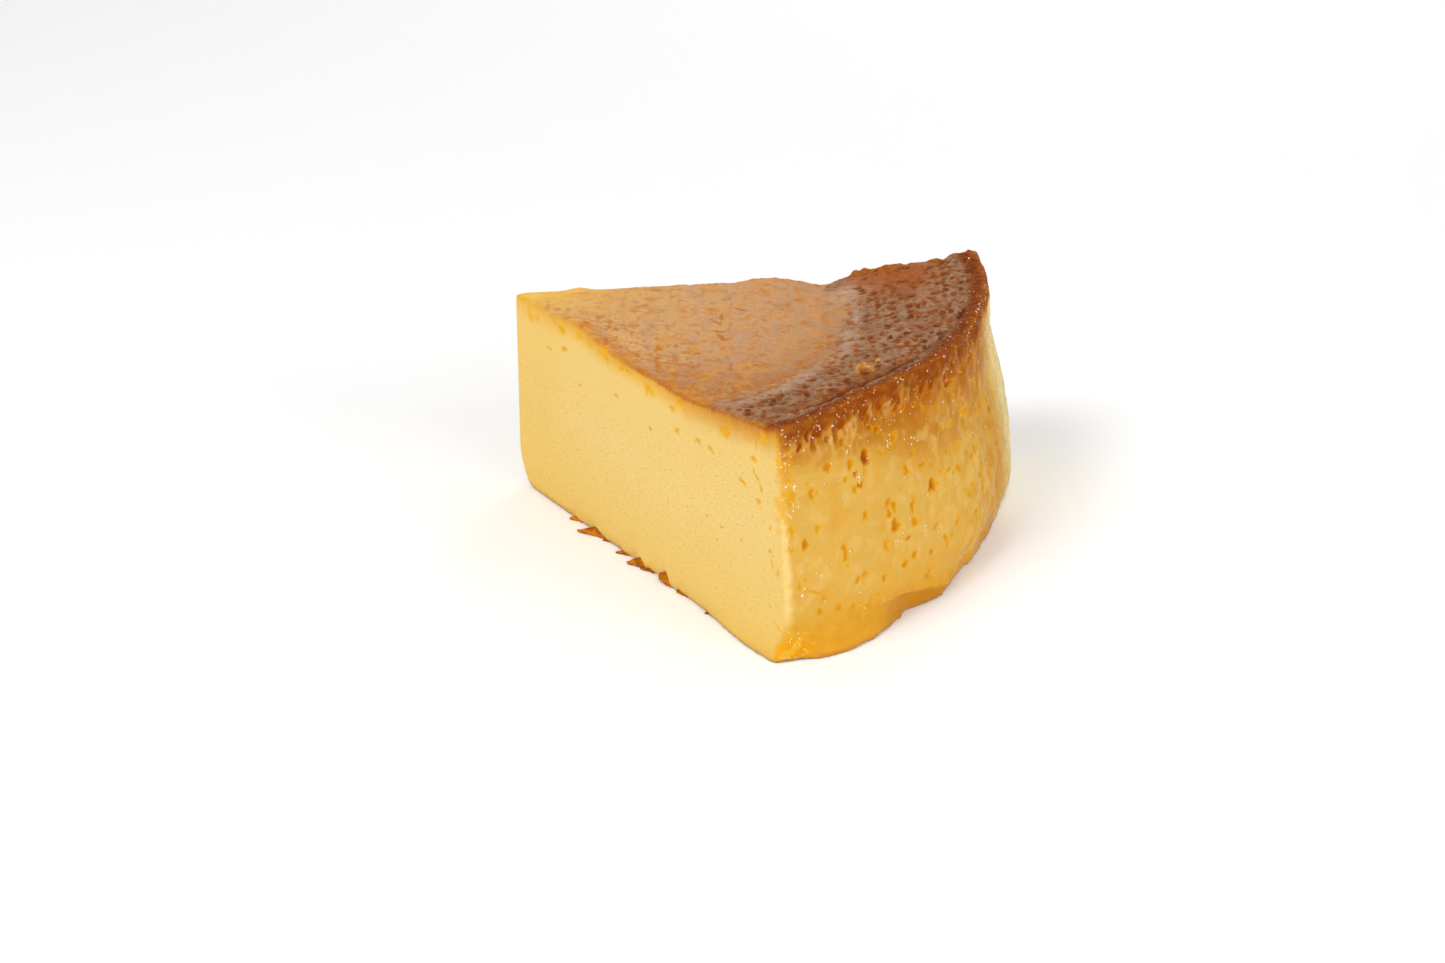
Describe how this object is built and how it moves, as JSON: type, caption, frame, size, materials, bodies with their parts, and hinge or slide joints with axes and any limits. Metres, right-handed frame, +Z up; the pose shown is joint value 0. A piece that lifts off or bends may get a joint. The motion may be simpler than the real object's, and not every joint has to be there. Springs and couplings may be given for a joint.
{
  "type": "custard flan slice",
  "caption": "Wedge-shaped slice of baked custard flan with a browned, sunken top, two smooth cut faces and a pitted outer wall.",
  "frame": {"origin": "on the surface the slice stands on, under the middle of its bounding box", "axes": "+Z up; the tip of the wedge points to -X and the outer wall faces +X; +Y runs across the slice, from the near cut to the far cut"},
  "size_m": [0.1108, 0.1212, 0.051],
  "materials": {
    "custard": "moist, satin custard; the top and the flakes at the foot are browned"
  },
  "bodies": {
    "root": {"custard_flan": "custard"}
  },
  "joints": []
}
